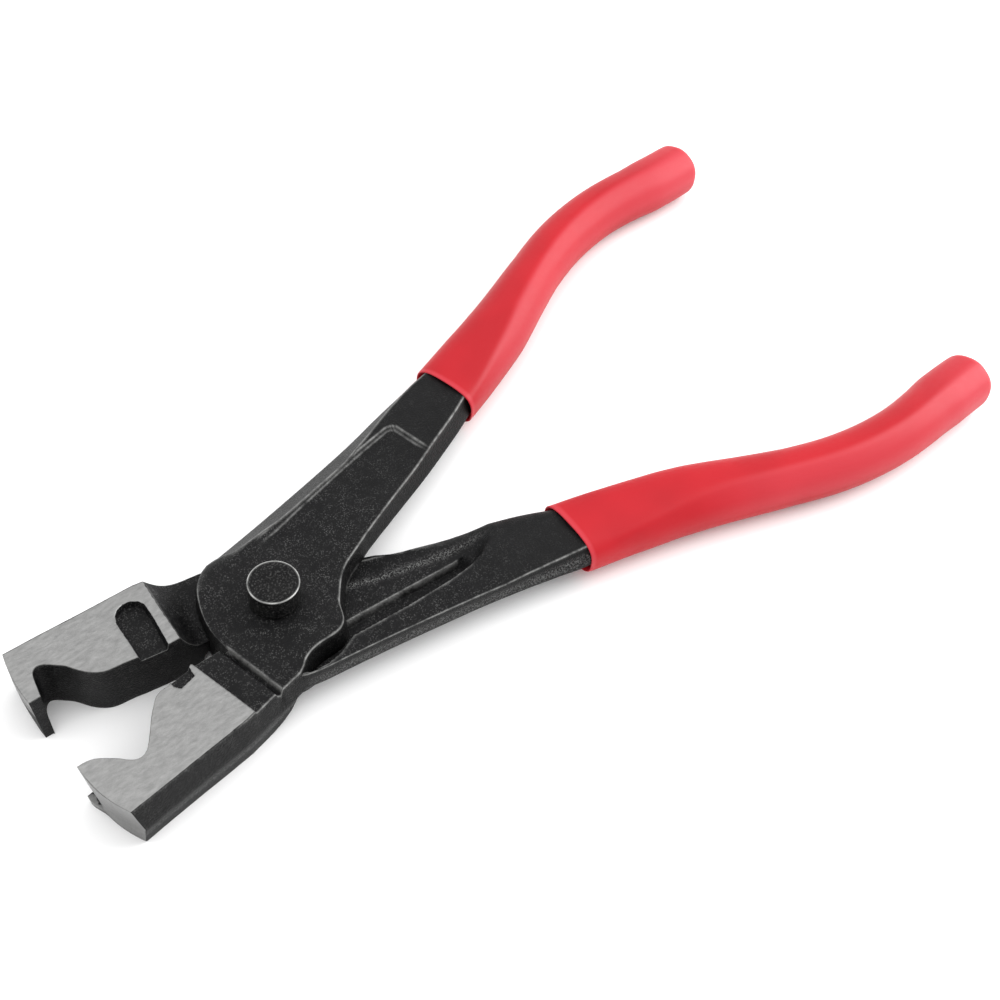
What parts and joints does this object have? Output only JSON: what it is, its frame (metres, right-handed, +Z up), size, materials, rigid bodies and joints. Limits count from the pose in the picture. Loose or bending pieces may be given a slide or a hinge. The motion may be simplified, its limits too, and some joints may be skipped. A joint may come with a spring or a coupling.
{
  "type": "ear clamp pliers",
  "caption": "Flat-lying pliers with a hooked upper jaw and a notched lower jaw, crossed levers on a rivet and curved dipped grips.",
  "frame": {"origin": "centre of the rivet's flat rear face, on the plane that the tool lies on, under the pivot axis", "axes": "+X along the centre axis from the jaws to the grips, +Y towards the front lever's handle, +Z up through the rivet's raised front head"},
  "size_m": [0.2013, 0.1022, 0.0159],
  "materials": {
    "lever_steel": "black oxide forging with ground bright jaw faces",
    "rivet_steel": "black oxide, turned",
    "grip_vinyl": "red dipped vinyl, satin gloss"
  },
  "bodies": {
    "rear_half": {"rear_lever": "lever_steel", "pivot_rivet": "rivet_steel", "rear_grip": "grip_vinyl"},
    "front_half": {"front_lever": "lever_steel", "front_grip": "grip_vinyl"}
  },
  "joints": [
    {"name": "pivot", "type": "hinge", "parent": "rear_half", "child": "front_half", "pos_m": [0, 0, 0.006], "axis": [0, 0, 1], "range_deg": [-16, 0]}
  ]
}
